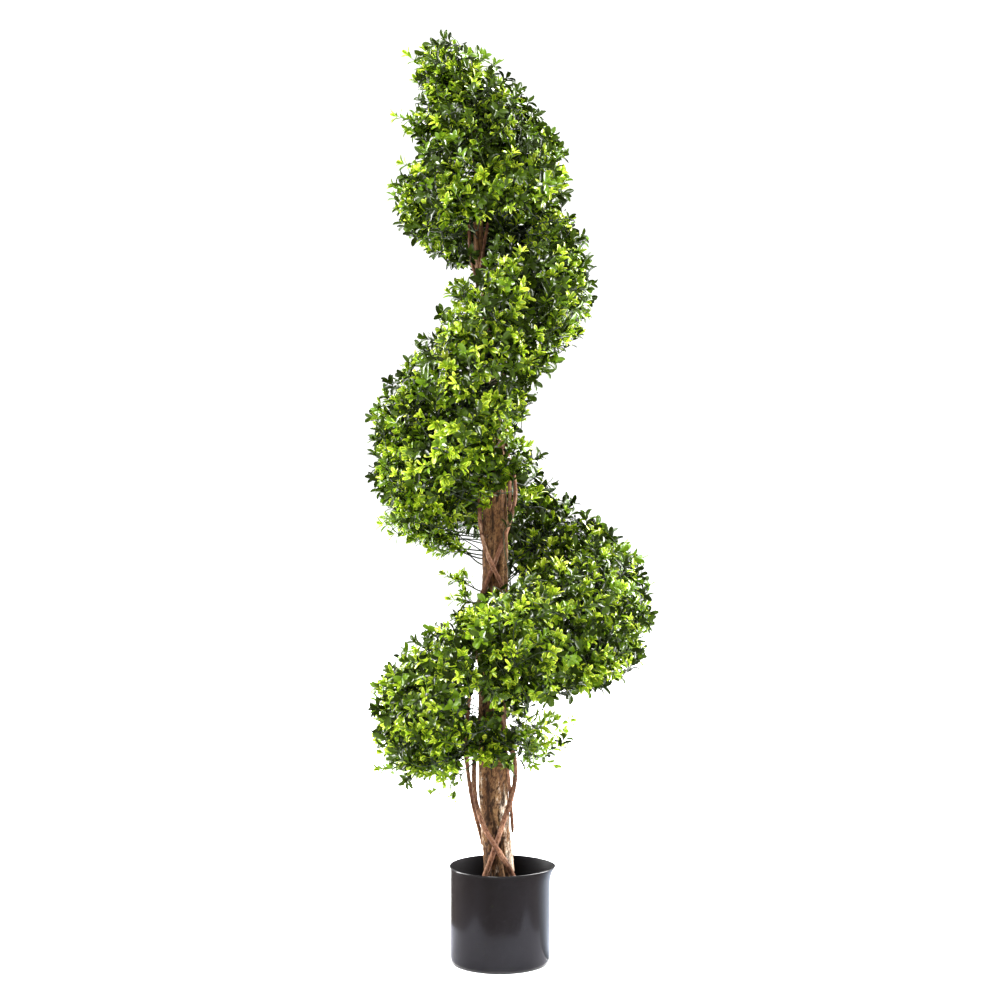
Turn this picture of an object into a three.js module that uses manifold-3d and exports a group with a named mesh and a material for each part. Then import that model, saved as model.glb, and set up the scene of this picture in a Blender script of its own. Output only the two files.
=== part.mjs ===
// Spiral topiary: an artificial box shrub on a real wooden trunk, in a plain round pot.
// Lengths are millimetres, angles are degrees, +Z is up.
// The origin is the centre of the pot's flat underside, and the front of the plant faces -Y.
// An angle round the trunk is counted from +X, anticlockwise seen from above.
import * as THREE from "three";
import { mergeVertices } from "three/addons/utils/BufferGeometryUtils.js";
import Module from "manifold-3d";

const wasm = await Module();
wasm.setup();

// ---- Pot and filling ----
const POT_HEIGHT = 161;
const POT_TOP_RADIUS = 83.5;
const POT_FOOT_RADIUS = 81;
const POT_WALL = 2.5;
const POT_FLOOR = 4;
const FOOT_BEVEL = 3;
const LIP_FLARE = 8; // how far the rim is bent outwards on its +X side
const LIP_WIDTH = 34; // half the angle that the bent stretch of rim covers
const LIP_DEPTH = 26; // how far down the wall the bend reaches
const FILL_TOP = 112; // the height of the filling's surface
const SOCKET_FLOOR = 20; // how far up the trunk's foot stands in the filling
const POT_SEGMENTS = 48;
const GAP = 0.4; // clearance between pieces that touch in the real plant

// ---- Trunk: height, centre in X and Y, radius ----
const TRUNK_STATIONS = [
  [SOCKET_FLOOR + GAP, 2, 0, 28],
  [150, -2, 0, 24.5],
  [270, -11, -1, 23.5],
  [425, -12, 3, 22.5],
  [600, -8, 2, 21.5],
  [760, -7, -2, 19],
  [950, -16, -4, 14.5],
  [1190, -35, 0, 8],
  [1320, -37, 3, 6.5],
  [1465, -66, 0, 2.5],
];
const TRUNK_RINGS = 22;
const TRUNK_SIDES = 12;
const FLUTES = 3;
const FLUTE_DEPTH = 0.07; // share of the radius
const FLUTE_TWIST = 0.25; // degrees of turn for each millimetre of height

// ---- Lianas wound round the trunk ----
// hand is +1 for one that rises anticlockwise; frontZ is a height at which it crosses the front of the trunk.
// lift holds it off the bark, from its foot to its tip, and bulge adds to that at the trunk's two sides.
const LIANAS = {
  liana_over: {
    hand: -1, frontZ: 198, pitch: 450,
    ends: [116, 1225], radii: [4.4, 2.5], lift: [10, 10], bulge: -9,
  },
  liana_under: {
    hand: 1, frontZ: 203, pitch: 464,
    ends: [116, 1210], radii: [4.4, 2.5], lift: [0, 0], bulge: 8,
  },
  liana_left: {
    hand: 1, frontZ: 580, pitch: 1060,
    ends: [190, 450], radii: [3.5, 3.1], lift: [0, 24], bulge: 0,
  },
  liana_stub: {
    hand: -1, frontZ: 500, pitch: 1010,
    ends: [214, 425], radii: [3.0, 2.6], lift: [0, 0], bulge: 0,
  },
  liana_inner: {
    hand: 1, frontZ: 520, pitch: 1150,
    ends: [728, 885], radii: [3.2, 3.0], lift: [0, 0], bulge: 0,
  },
};
const LIANA_SIDES = 5;
const LIANA_STEP = 17; // degrees of turn from one ring to the next
const LIANA_MOST_RISE = 16; // the tallest step of a liana that winds slowly

// ---- Foliage: the clipped ribbon that climbs round the trunk ----
// At each station: angle, height of the middle, reach from the trunk's axis, half the height.
const RIBBON_STATIONS = [
  [2, 386, 140, 46],
  [45, 374, 148, 48],
  [90, 386, 165, 54],
  [135, 398, 190, 80],
  [180, 402, 202, 104],
  [225, 452, 204, 134],
  [270, 530, 208, 114],
  [315, 552, 234, 110],
  [360, 576, 254, 142],
  [405, 648, 238, 126],
  [450, 776, 206, 108],
  [495, 794, 204, 106],
  [540, 822, 202, 142],
  [585, 906, 184, 156],
  [630, 988, 174, 164],
  [675, 1066, 172, 132],
  [720, 1130, 182, 116],
  [765, 1160, 174, 102],
  [810, 1188, 150, 82],
  [855, 1216, 136, 80],
  [900, 1246, 132, 78],
  [945, 1257, 132, 76],
  [990, 1268, 136, 72],
  [1035, 1280, 148, 68],
  [1080, 1300, 150, 70],
  [1125, 1330, 130, 68],
  [1170, 1356, 110, 60],
  [1215, 1374, 92, 52],
];
// Where the ribbon is parted into masses, and the name of the mass above each cut.
const RIBBON_CUTS = [
  [2, "foliage_foot"],
  [62, "foliage_1_back"],
  [132, "foliage_1_left"],
  [222, "foliage_1_front"],
  [312, "foliage_1_right"],
  [402, "foliage_2_back"],
  [490, "foliage_2_left"],
  [582, "foliage_2_front"],
  [672, "foliage_2_right"],
  [762, "foliage_3_back"],
  [852, "foliage_3_left"],
  [942, "foliage_3_front"],
  [1032, "foliage_3_right"],
  [1122, "foliage_4_back"],
  [1212, null],
];
const RIBBON_STEP = 15; // degrees from one ring of a mass to the next
const RIBBON_SIDES = 12;
const RIBBON_INNER = 4; // radius at which a mass starts, inside the trunk, before it is cut round it
const END_PINCH = 0.07; // how much slimmer a mass is at its two ends
const LUMP = 8; // height of the lumps on a mass
const MASS_GAP = 1.2; // clearance between one mass and the next

// ---- Foliage: two collars of short sprigs on the front of the trunk, in columns like the ribbon's ----
const COLLAR_STATIONS = {
  foliage_collar: [
    [190, 392, 44, 42],
    [230, 382, 54, 54],
    [270, 380, 60, 56],
    [310, 382, 56, 52],
    [350, 392, 46, 40],
  ],
  foliage_upper_collar: [
    [185, 778, 40, 30],
    [225, 792, 50, 40],
    [265, 808, 54, 40],
    [300, 820, 50, 34],
    [332, 828, 40, 28],
  ],
};

// ---- Foliage: the crown's tip: height, centre in X, half the width ----
const TIP_STATIONS = [
  [1322, -24, 108],
  [1362, -26, 104],
  [1400, -38, 90],
  [1440, -60, 74],
  [1472, -78, 56],
  [1492, -86, 34],
  [1500, -88, 14],
];
const TIP_SIDES = 14;
const TIP_SWIRL = 0.02; // how fast the lumps turn with height, in radians for each millimetre
const TIP_SMOOTH_BELOW = 60; // half-width under which the lumps fade out

const WOOD = new THREE.MeshStandardMaterial({ color: 0x8a6a4c, roughness: 0.9, metalness: 0 });
const LIANA_BARK = new THREE.MeshStandardMaterial({ color: 0x7d5238, roughness: 0.85, metalness: 0 });
const LEAF_GREEN = new THREE.MeshStandardMaterial({ color: 0x3f7a1d, roughness: 0.5, metalness: 0 });
const BLACK_PLASTIC = new THREE.MeshStandardMaterial({ color: 0x1c1c1f, roughness: 0.3, metalness: 0 });
const FILLING = new THREE.MeshStandardMaterial({ color: 0x2a2724, roughness: 0.95, metalness: 0 });

const rad = THREE.MathUtils.degToRad;
const outwards = (angle) => new THREE.Vector3(Math.cos(rad(angle)), Math.sin(rad(angle)), 0);

// A smooth curve through rows of numbers, as a function of the first number in the row.
function smoothTable(rows) {
  return (at) => {
    const x = THREE.MathUtils.clamp(at, rows[0][0], rows[rows.length - 1][0]);
    const i = Math.min(rows.findLastIndex((row) => row[0] <= x), rows.length - 2);
    const [a, b] = [rows[i], rows[i + 1]];
    const span = b[0] - a[0];
    const t = (x - a[0]) / span;
    const slope = (k, column) => {
      const [low, high] = [rows[Math.max(k - 1, 0)], rows[Math.min(k + 1, rows.length - 1)]];
      return ((high[column] - low[column]) / (high[0] - low[0])) * span;
    };
    return a.slice(1).map((start, c) => {
      const [end, m0, m1] = [b[c + 1], slope(i, c + 1), slope(i + 1, c + 1)];
      const [t2, t3] = [t * t, t * t * t];
      const value = (2 * t3 - 3 * t2 + 1) * start + (3 * t2 - 2 * t3) * end;
      return value + (t3 - 2 * t2 + t) * m0 + (t3 - t2) * m1;
    });
  };
}

const trunkAt = smoothTable(TRUNK_STATIONS);
const ribbonAt = smoothTable(RIBBON_STATIONS);
const trunkCentre = (z) => new THREE.Vector3(...trunkAt(z).slice(0, 2), z);
const trunkRadius = (z) => trunkAt(z)[2];

// A closed solid through rings of points, each ring anticlockwise seen from the end that it leads to.
function loft(rings) {
  const sides = rings[0].length;
  const points = rings.flat();
  const index = [];
  for (let r = 0; r + 1 < rings.length; r++) {
    for (let s = 0; s < sides; s++) {
      const [a, b] = [r * sides + s, r * sides + ((s + 1) % sides)];
      index.push(a, b, b + sides, a, b + sides, a + sides);
    }
  }
  for (const [ring, first, turn] of [[rings[0], 0, -1], [rings.at(-1), points.length - sides, 1]]) {
    const average = ring.reduce((sum, point) => sum.add(point), new THREE.Vector3()).divideScalar(sides);
    const middle = points.push(average) - 1;
    for (let s = 0; s < sides; s++) {
      const [a, b] = [first + s, first + ((s + 1) % sides)];
      index.push(...(turn > 0 ? [a, b, middle] : [b, a, middle]));
    }
  }
  return new THREE.BufferGeometry().setFromPoints(points).setIndex(index);
}

function solidOf(geometry) {
  const bare = geometry.clone();
  bare.deleteAttribute("normal");
  bare.deleteAttribute("uv");
  const merged = mergeVertices(bare, 1e-3);
  return new wasm.Manifold(
    new wasm.Mesh({
      numProp: 3,
      vertProperties: merged.attributes.position.array,
      triVerts: new Uint32Array(merged.index.array),
    }),
  );
}

// The largest piece of a geometry that is left when others are cut out of it.
function cutRound(geometry, cutters) {
  const left = cutters.reduce((solid, cutter) => solid.subtract(solidOf(cutter)), solidOf(geometry));
  const [largest] = left.decompose().sort((a, b) => b.volume() - a.volume());
  const mesh = largest.getMesh();
  return new THREE.BufferGeometry()
    .setAttribute("position", new THREE.BufferAttribute(new Float32Array(mesh.vertProperties), 3))
    .setIndex(new THREE.BufferAttribute(new Uint32Array(mesh.triVerts), 1));
}

// The rim stands out on its +X side, most at the top and not at all below LIP_DEPTH.
function flare(angle, z) {
  const down = THREE.MathUtils.clamp((POT_HEIGHT - z) / LIP_DEPTH, 0, 1);
  const aside = THREE.MathUtils.euclideanModulo(angle + 180, 360) - 180;
  return LIP_FLARE * (1 - down) ** 2 * Math.exp(-((aside / LIP_WIDTH) ** 2));
}

function potGeometry() {
  const inner = POT_WALL;
  const profile = [
    [0, 0],
    [POT_FOOT_RADIUS - FOOT_BEVEL, 0],
    [POT_FOOT_RADIUS, FOOT_BEVEL],
    [POT_TOP_RADIUS, POT_HEIGHT - LIP_DEPTH],
    [POT_TOP_RADIUS, POT_HEIGHT - LIP_DEPTH / 2],
    [POT_TOP_RADIUS, POT_HEIGHT],
    [POT_TOP_RADIUS - inner, POT_HEIGHT],
    [POT_TOP_RADIUS - inner, POT_HEIGHT - LIP_DEPTH / 2],
    [POT_TOP_RADIUS - inner, POT_HEIGHT - LIP_DEPTH],
    [POT_FOOT_RADIUS - inner, POT_FLOOR],
    [0, POT_FLOOR],
  ].map(([r, z]) => new THREE.Vector2(r, z));
  const pot = new THREE.LatheGeometry(profile, POT_SEGMENTS).rotateX(Math.PI / 2);
  const place = pot.attributes.position;
  for (let i = 0; i < place.count; i++) {
    const [x, y, z] = [place.getX(i), place.getY(i), place.getZ(i)];
    const r = Math.hypot(x, y);
    const wider = r > 1 ? 1 + flare(THREE.MathUtils.radToDeg(Math.atan2(y, x)), z) / r : 1;
    place.setXY(i, x * wider, y * wider);
  }
  return pot;
}

function fillingGeometry() {
  const { mapLinear } = THREE.MathUtils;
  const side = (z) => mapLinear(z, 0, POT_HEIGHT - LIP_DEPTH, POT_FOOT_RADIUS, POT_TOP_RADIUS);
  const clear = POT_WALL + 2 * GAP;
  const bottom = POT_FLOOR + GAP;
  const profile = [
    [0, bottom],
    [side(bottom) - clear, bottom],
    [side(FILL_TOP) - clear, FILL_TOP],
    [0, FILL_TOP],
  ].map(([r, z]) => new THREE.Vector2(r, z));
  const block = new THREE.LatheGeometry(profile, POT_SEGMENTS).rotateX(Math.PI / 2);
  return cutRound(block, [trunkGeometry(GAP)]);
}

// The trunk is round, with shallow flutes that turn slowly as it rises.
// grow makes the wider copy that its neighbours are cut with, here and in the functions below.
function trunkGeometry(grow = 0) {
  const [foot, tip] = [TRUNK_STATIONS[0][0], TRUNK_STATIONS.at(-1)[0]];
  const rings = Array.from({ length: TRUNK_RINGS + 1 }, (_, i) => {
    const z = THREE.MathUtils.lerp(foot, tip, i / TRUNK_RINGS);
    const end = i === 0 ? -grow : i === TRUNK_RINGS ? grow : 0;
    return Array.from({ length: TRUNK_SIDES }, (_, s) => {
      const angle = (360 * s) / TRUNK_SIDES;
      const flute = 1 + FLUTE_DEPTH * Math.cos(rad(FLUTES * angle + FLUTE_TWIST * z));
      const centre = trunkCentre(z).setZ(z + end);
      return centre.addScaledVector(outwards(angle), trunkRadius(z) * flute + grow);
    });
  });
  return loft(rings);
}

// A liana's centre line: a helix that hugs the trunk's furthest flute, or stands off it by lift and bulge.
function lianaPath({ hand, frontZ, pitch, ends, radii, lift, bulge }) {
  const rise = Math.min((LIANA_STEP * pitch) / 360, LIANA_MOST_RISE);
  const steps = Math.ceil((ends[1] - ends[0]) / rise);
  return Array.from({ length: steps + 1 }, (_, i) => {
    const z = THREE.MathUtils.lerp(...ends, i / steps);
    const angle = 270 + (hand * 360 * (z - frontZ)) / pitch;
    const aside = Math.cos(rad(angle)) ** 2;
    const bark = trunkRadius(z) * (1 + FLUTE_DEPTH);
    const off = THREE.MathUtils.lerp(...lift, i / steps) + bulge * aside;
    return trunkCentre(z).addScaledVector(outwards(angle), bark + radii[0] + GAP + off);
  });
}

function lianaGeometry(liana, grow = 0) {
  const path = new THREE.CatmullRomCurve3(lianaPath(liana));
  const steps = path.points.length - 1;
  const frames = path.computeFrenetFrames(steps);
  const rings = Array.from({ length: steps + 1 }, (_, i) => {
    const thick = THREE.MathUtils.lerp(...liana.radii, i / steps) + grow;
    const end = i === 0 ? -grow : i === steps ? grow : 0;
    const centre = path.getPointAt(i / steps).addScaledVector(frames.tangents[i], end);
    return Array.from({ length: LIANA_SIDES }, (_, s) => {
      const turn = (2 * Math.PI * s) / LIANA_SIDES;
      return centre
        .clone()
        .addScaledVector(frames.normals[i], thick * Math.cos(turn))
        .addScaledVector(frames.binormals[i], thick * Math.sin(turn));
    });
  });
  return loft(rings);
}

// Two crossing waves of lumps: along the mass by angle, and round its section by turn.
const lump = (angle, turn, z) => {
  const wide = Math.sin(rad(5.3 * angle) + 2 * turn);
  const narrow = Math.sin(rad(3.1 * angle) - 3 * turn + 0.013 * z);
  return (LUMP * (wide + narrow)) / 2;
};

// A mass is a stretch of the ribbon: an egg-shaped section, thickest outside, swept round the leaning trunk.
// boxy makes the section fuller than an ellipse, and outer runs from 0 at the trunk to 1 at the outside.
function ribbonGeometry(from, to, grow = 0, stationAt = ribbonAt) {
  const steps = Math.ceil((to - from) / RIBBON_STEP);
  const rings = Array.from({ length: steps + 1 }, (_, i) => {
    const angle = THREE.MathUtils.lerp(from, to, i / steps);
    const ends = (i === 0 ? -1 : 0) + (i === steps ? 1 : 0);
    const [middle, reach, half] = stationAt(angle);
    const pinch = 1 - END_PINCH * Math.abs((2 * i) / steps - 1) ** 3;
    const wide = (reach * pinch - RIBBON_INNER) / 2 + grow;
    return Array.from({ length: RIBBON_SIDES }, (_, s) => {
      const turn = (-2 * Math.PI * s) / RIBBON_SIDES;
      const boxy = (Math.cos(turn) ** 4 + Math.sin(turn) ** 4) ** -0.25 * 0.5 + 0.5;
      const outer = (1 + Math.cos(turn)) / 2;
      const rough = lump(angle, turn, middle) * outer;
      const r = RIBBON_INNER + wide - grow + (wide * Math.sqrt(boxy) + rough * outer) * Math.cos(turn);
      const tall = (half * pinch * boxy + grow) * (0.5 + 0.5 * Math.sqrt(outer)) + rough;
      const z = middle + tall * Math.sin(turn);
      return trunkCentre(z)
        .addScaledVector(outwards(angle), Math.max(r, RIBBON_INNER))
        .addScaledVector(outwards(angle + 90), ends * (grow - MASS_GAP / 2));
    });
  });
  return loft(rings);
}

function tipGeometry() {
  const rings = TIP_STATIONS.map(([z, x, wide], i) =>
    Array.from({ length: TIP_SIDES }, (_, s) => {
      const angle = (360 * s) / TIP_SIDES;
      const out = wide + lump(angle, TIP_SWIRL * z, z) * Math.min(1, wide / TIP_SMOOTH_BELOW);
      return new THREE.Vector3(x, 0, z).addScaledVector(outwards(angle), out);
    }),
  );
  return loft(rings);
}

const topiary = new THREE.Group();
function add(name, geometry, material) {
  const mesh = new THREE.Mesh(geometry, material);
  mesh.name = name;
  topiary.add(mesh);
}

add("pot", potGeometry(), BLACK_PLASTIC);
add("filling", fillingGeometry(), FILLING);
add("trunk", trunkGeometry(), WOOD);
for (const [name, liana] of Object.entries(LIANAS)) add(name, lianaGeometry(liana), LIANA_BARK);

const limbs = [trunkGeometry(GAP), ...Object.values(LIANAS).map((liana) => lianaGeometry(liana, GAP))];
const stretches = RIBBON_CUTS.slice(0, -1).map(([from, name], i) => {
  return { name, from, to: RIBBON_CUTS[i + 1][0] };
});
const clearOf = (others) =>
  others.flatMap(({ from, to }) => [0, MASS_GAP].map((grow) => ribbonGeometry(from, to, grow)));
for (const { name, from, to } of stretches) {
  const nextTurn = stretches.filter((other) => other.from - from > 180 && other.from - from < 450);
  add(name, cutRound(ribbonGeometry(from, to), [...limbs, ...clearOf(nextTurn)]), LEAF_GREEN);
}
for (const [name, rows] of Object.entries(COLLAR_STATIONS)) {
  const collar = ribbonGeometry(rows[0][0], rows.at(-1)[0], 0, smoothTable(rows));
  add(name, cutRound(collar, [...limbs, ...clearOf(stretches)]), LEAF_GREEN);
}
add("foliage_tip", cutRound(tipGeometry(), [...limbs, ...clearOf(stretches.slice(-5))]), LEAF_GREEN);

export default topiary;
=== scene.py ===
import math
import random

import bpy
import numpy as np
from mathutils import Matrix, Vector, noise
from mathutils.bvhtree import BVHTree


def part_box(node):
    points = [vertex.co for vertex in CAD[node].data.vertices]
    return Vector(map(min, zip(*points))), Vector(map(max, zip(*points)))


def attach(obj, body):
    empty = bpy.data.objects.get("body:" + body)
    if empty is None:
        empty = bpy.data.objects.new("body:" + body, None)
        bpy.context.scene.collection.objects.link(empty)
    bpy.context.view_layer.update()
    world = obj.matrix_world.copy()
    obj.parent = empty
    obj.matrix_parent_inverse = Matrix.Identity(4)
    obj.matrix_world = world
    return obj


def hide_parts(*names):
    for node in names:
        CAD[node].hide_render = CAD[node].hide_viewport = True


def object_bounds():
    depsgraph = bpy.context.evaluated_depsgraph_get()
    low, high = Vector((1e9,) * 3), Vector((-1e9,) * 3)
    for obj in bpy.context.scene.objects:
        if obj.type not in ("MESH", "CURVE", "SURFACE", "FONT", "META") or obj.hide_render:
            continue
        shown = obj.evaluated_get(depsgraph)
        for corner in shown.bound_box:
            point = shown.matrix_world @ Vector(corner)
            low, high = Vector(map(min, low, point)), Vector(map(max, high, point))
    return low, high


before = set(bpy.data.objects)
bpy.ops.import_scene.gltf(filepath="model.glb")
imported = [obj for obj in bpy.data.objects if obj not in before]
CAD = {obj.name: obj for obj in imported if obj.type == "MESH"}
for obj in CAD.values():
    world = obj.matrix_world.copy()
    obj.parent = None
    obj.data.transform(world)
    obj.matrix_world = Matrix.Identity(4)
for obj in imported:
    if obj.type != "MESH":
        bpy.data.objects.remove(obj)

cad_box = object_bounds()
MASSES = sorted(n for n in CAD if n.startswith("foliage_"))
UP = Vector((0, 0, 1))

# ---- Camera and studio ----
CAMERA_PLACE = Vector((0, -4.2, 1.1))
CAMERA_TARGET = Vector((0, 0, 0.7617))
CAMERA_LENS = 93.6  # millimetres, on a sensor 36 wide

# ---- Trunk and lianas ----
TRUNK_RING_STEP = 0.0026
TRUNK_SIDES = 76
TRUNK_START_BELOW_FILLING = 0.01
CRACK_DEPTH = 0.0016
STRAND_DEPTH = 0.0028  # of the hollows between the strands that the trunk is made of
BARE_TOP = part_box("foliage_collar")[0].z + 0.03  # where the trunk's bare foot ends
BARE_FADE = 0.06
FRONT_SHADE = 0.27  # how much painted shade darkens the front of the bare foot
LICHEN = 0.085  # how much more pale crust there is where it is thickest
LICHEN_TURN = math.radians(-32)  # the side of the trunk where it is thickest
LIANA_SWELL = 1.14  # a liana's thickness over its CAD's
LIANA_RING_STEP = 0.0026
LIANA_SIDES = 16
LIANAS = ("liana_over", "liana_under", "liana_left", "liana_stub", "liana_inner")

# ---- Pot ----
POT_WALL = 0.0025
POT_SEGMENTS = 160
LIP_WIDTH = 34  # degrees, as in the CAD
LIP_DEPTH = 0.026
FOOT_INSET = 0.0025  # the foot's radius is this much less than the rim's
FOOT_BEVEL = 0.003
RIM_ROUND = 0.0013
POT_FLOOR = 0.006  # the floor's upper side
UNDERSIDE_HOLLOW = 0.004  # how far the middle of the underside stands off the floor
WALL_STEPS = 28

# ---- Foliage ----
SPRAY_SPACING = 0.0176  # between the sprays on a mass's surface
INNER_SPACING = 0.029  # between the sprays inside it, whose darker tints are painted shade
SPRAY_LENGTH = 0.046
PAIR_STEP = 0.0082  # along a spray, from one pair of leaves to the next
LEAF_LENGTH = 0.0164
LEAF_WIDTH = 0.0073
TRUNK_CLEAR = 0.03  # bare room between the bark and the first sprays
STEMS_PER_METRE = 46  # wires pushed into the trunk, for each metre of a mass's height
STEM_RADIUS = 0.0012
LOOSE_RADIUS = 0.0016  # of a wire that carries a loose sprig, at the trunk
LOOSE_TIP_RADIUS = 0.0013
TWIG_RADIUS = 0.0009


# ------------------------------------------------------------------ materials
class Nodes:
    """Builds a material's node tree in few words."""

    def __init__(self, name, roughness=0.5):
        self.material = bpy.data.materials.new(name)
        self.material.use_nodes = True
        self.tree = self.material.node_tree
        self.shader = self.tree.nodes["Principled BSDF"]
        self.shader.inputs["Roughness"].default_value = roughness

    def add(self, kind, **settings):
        node = self.tree.nodes.new(kind)
        for key, value in settings.items():
            if hasattr(node, key):
                setattr(node, key, value)
            else:
                node.inputs[key.replace("_", " ")].default_value = value
        return node

    def link(self, source, target):
        self.tree.links.new(source, target)

    def ramp(self, source, stops):
        node = self.add("ShaderNodeValToRGB")
        ramp = node.color_ramp
        while len(ramp.elements) < len(stops):
            ramp.elements.new(0.5)
        for element, (place, colour) in zip(ramp.elements, stops):
            element.position = place
            element.color = (*colour, 1)
        self.link(source, node.inputs["Fac"])
        return node.outputs["Color"]

    def mix(self, factor, first, second, blend="MIX"):
        node = self.add("ShaderNodeMix", data_type="RGBA", blend_type=blend)
        sockets = (node.inputs["Factor"], node.inputs[6], node.inputs[7])
        for socket, value in zip(sockets, (factor, first, second)):
            if isinstance(value, bpy.types.NodeSocket):
                self.link(value, socket)
            else:
                socket.default_value = value if socket == sockets[0] else (*value, 1)
        return node.outputs[2]

    def noise(self, scale, stretch=(1, 1, 1), detail=4, roughness=0.55):
        place = self.add("ShaderNodeTexCoord").outputs["Object"]
        mapping = self.add("ShaderNodeMapping", Scale=stretch)
        self.link(place, mapping.inputs["Vector"])
        node = self.add("ShaderNodeTexNoise", Scale=scale, Detail=detail, Roughness=roughness)
        self.link(mapping.outputs["Vector"], node.inputs["Vector"])
        return node.outputs["Fac"]

    def attribute(self, name):
        return self.add("ShaderNodeAttribute", attribute_name=name).outputs["Fac"]

    def bump(self, height, distance, strength=1.0):
        node = self.add("ShaderNodeBump", Distance=distance, Strength=strength)
        self.link(height, node.inputs["Height"])
        self.link(node.outputs["Normal"], self.shader.inputs["Normal"])

    def roughness(self, source, low, high):
        node = self.add("ShaderNodeMapRange", To_Min=low, To_Max=high)
        self.link(source, node.inputs["Value"])
        self.link(node.outputs["Result"], self.shader.inputs["Roughness"])


def bark_material(name, pale, middle, dark, lichen):
    """Dry bark: streaks of colour under a coarse grain, pale patches, and painted shade that each point
    carries, darkest in the deepest cracks and hollows.
    """
    nodes = Nodes(name)
    streaks = nodes.noise(55, stretch=(1, 1, 0.14), detail=6)
    colour = nodes.ramp(streaks, [(0.34, dark), (0.5, middle), (0.66, pale)])
    patches = nodes.add("ShaderNodeMath", operation="ADD")
    nodes.link(nodes.noise(45, stretch=(1, 1, 0.3), detail=9, roughness=0.75), patches.inputs[0])
    nodes.link(nodes.attribute("lichen"), patches.inputs[1])
    spots = nodes.ramp(patches.outputs[0], [(0.57, (0, 0, 0)), (0.66, (0.9, 0.9, 0.9))])
    colour = nodes.mix(spots, colour, lichen)
    nodes.shader.inputs["Specular IOR Level"].default_value = 0.2
    grain = nodes.noise(320, stretch=(1, 1, 0.5), detail=9, roughness=0.8)
    mottle = nodes.ramp(grain, [(0.41, (0.17, 0.12, 0.09)), (0.49, (0.66, 0.60, 0.54)), (0.56, (1, 1, 1))])
    colour = nodes.mix(0.9, colour, mottle, "MULTIPLY")
    # Painted shade: the bark turns a deep brown where each point's shade value is high.
    painted_shade = nodes.ramp(nodes.attribute("painted_shade"), [(0.1, (0, 0, 0)), (0.7, (0.95, 0.95, 0.95))])
    colour = nodes.mix(painted_shade, colour, tuple(0.22 * c for c in dark))
    nodes.link(colour, nodes.shader.inputs["Base Color"])
    nodes.roughness(streaks, 0.95, 0.75)
    nodes.bump(grain, 0.0016, 0.9)
    return nodes.material


def trunk_bark():
    return bark_material(
        "trunk_bark",
        pale=(0.25, 0.140, 0.062),
        middle=(0.145, 0.071, 0.027),
        dark=(0.072, 0.031, 0.011),
        lichen=(0.64, 0.54, 0.43),
    )


def liana_bark():
    return bark_material(
        "liana_bark",
        pale=(0.26, 0.138, 0.082),
        middle=(0.152, 0.068, 0.037),
        dark=(0.080, 0.034, 0.017),
        lichen=(0.46, 0.30, 0.20),
    )


def pot_material():
    """Black plastic, glossy outside and duller inside, with faint scuffs."""
    nodes = Nodes("pot_plastic", 0.12)
    cloudy = nodes.noise(9, stretch=(1, 1, 0.5), detail=5)
    scuffs = nodes.noise(130, stretch=(1, 1, 5), detail=6, roughness=0.75)
    marks = nodes.ramp(scuffs, [(0.62, (0, 0, 0)), (0.8, (1, 1, 1))])
    colour = nodes.ramp(cloudy, [(0.3, (0.0045, 0.0038, 0.0038)), (0.7, (0.0075, 0.0072, 0.0085))])
    colour = nodes.mix(nodes.mix(0.8, marks, (0, 0, 0)), colour, (0.12, 0.115, 0.11))
    nodes.link(colour, nodes.shader.inputs["Base Color"])
    gloss = nodes.add("ShaderNodeMapRange", To_Min=0.06, To_Max=0.22)
    nodes.link(scuffs, gloss.inputs["Value"])
    rougher = nodes.add("ShaderNodeMath", operation="MULTIPLY_ADD")
    nodes.link(nodes.attribute("inside"), rougher.inputs[0])
    rougher.inputs[1].default_value = 0.4
    nodes.link(gloss.outputs["Result"], rougher.inputs[2])
    nodes.link(rougher.outputs[0], nodes.shader.inputs["Roughness"])
    duller = nodes.add("ShaderNodeMapRange", To_Min=0.27, To_Max=0.07)
    nodes.link(nodes.attribute("inside"), duller.inputs["Value"])
    nodes.link(duller.outputs["Result"], nodes.shader.inputs["Specular IOR Level"])
    nodes.bump(nodes.noise(16, stretch=(1, 1, 0.3), detail=2), 0.0012, 0.25)
    return nodes.material


def filling_material():
    nodes = Nodes("filling", 0.95)
    grain = nodes.noise(240, detail=6, roughness=0.7)
    colour = nodes.ramp(grain, [(0.35, (0.010, 0.009, 0.008)), (0.7, (0.045, 0.04, 0.035))])
    nodes.link(colour, nodes.shader.inputs["Base Color"])
    nodes.bump(grain, 0.001, 0.8)
    return nodes.material


def plain_material(name, colour, roughness, specular=0.5):
    nodes = Nodes(name, roughness)
    nodes.shader.inputs["Base Color"].default_value = (*colour, 1)
    nodes.shader.inputs["Specular IOR Level"].default_value = specular
    return nodes.material


# ------------------------------------------------------------------ meshes
def make_piece(name, points, faces, replaced, materials, tints=None, values=None):
    """A shown piece of the object, riding on its one body."""
    mesh = bpy.data.meshes.new(name)
    mesh.from_pydata(points, [], faces)
    for material in materials:
        mesh.materials.append(material)
    if tints is not None:
        mesh.polygons.foreach_set("material_index", tints)
    mesh.polygons.foreach_set("use_smooth", [True] * len(mesh.polygons))
    for key, per_point in (values or {}).items():
        mesh.attributes.new(key, "FLOAT", "POINT").data.foreach_set("value", per_point)
    mesh.update()
    piece = bpy.data.objects.new(name, mesh)
    bpy.context.scene.collection.objects.link(piece)
    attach(piece, "root")
    if replaced:
        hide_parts(*replaced)
    return piece


def tube_faces(rings, sides, start=0):
    """Quads between rings of points."""
    faces = []
    for r in range(rings - 1):
        for s in range(sides):
            a = start + r * sides + s
            b = start + r * sides + (s + 1) % sides
            faces.append((a, b, b + sides, a + sides))
    return faces


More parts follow.
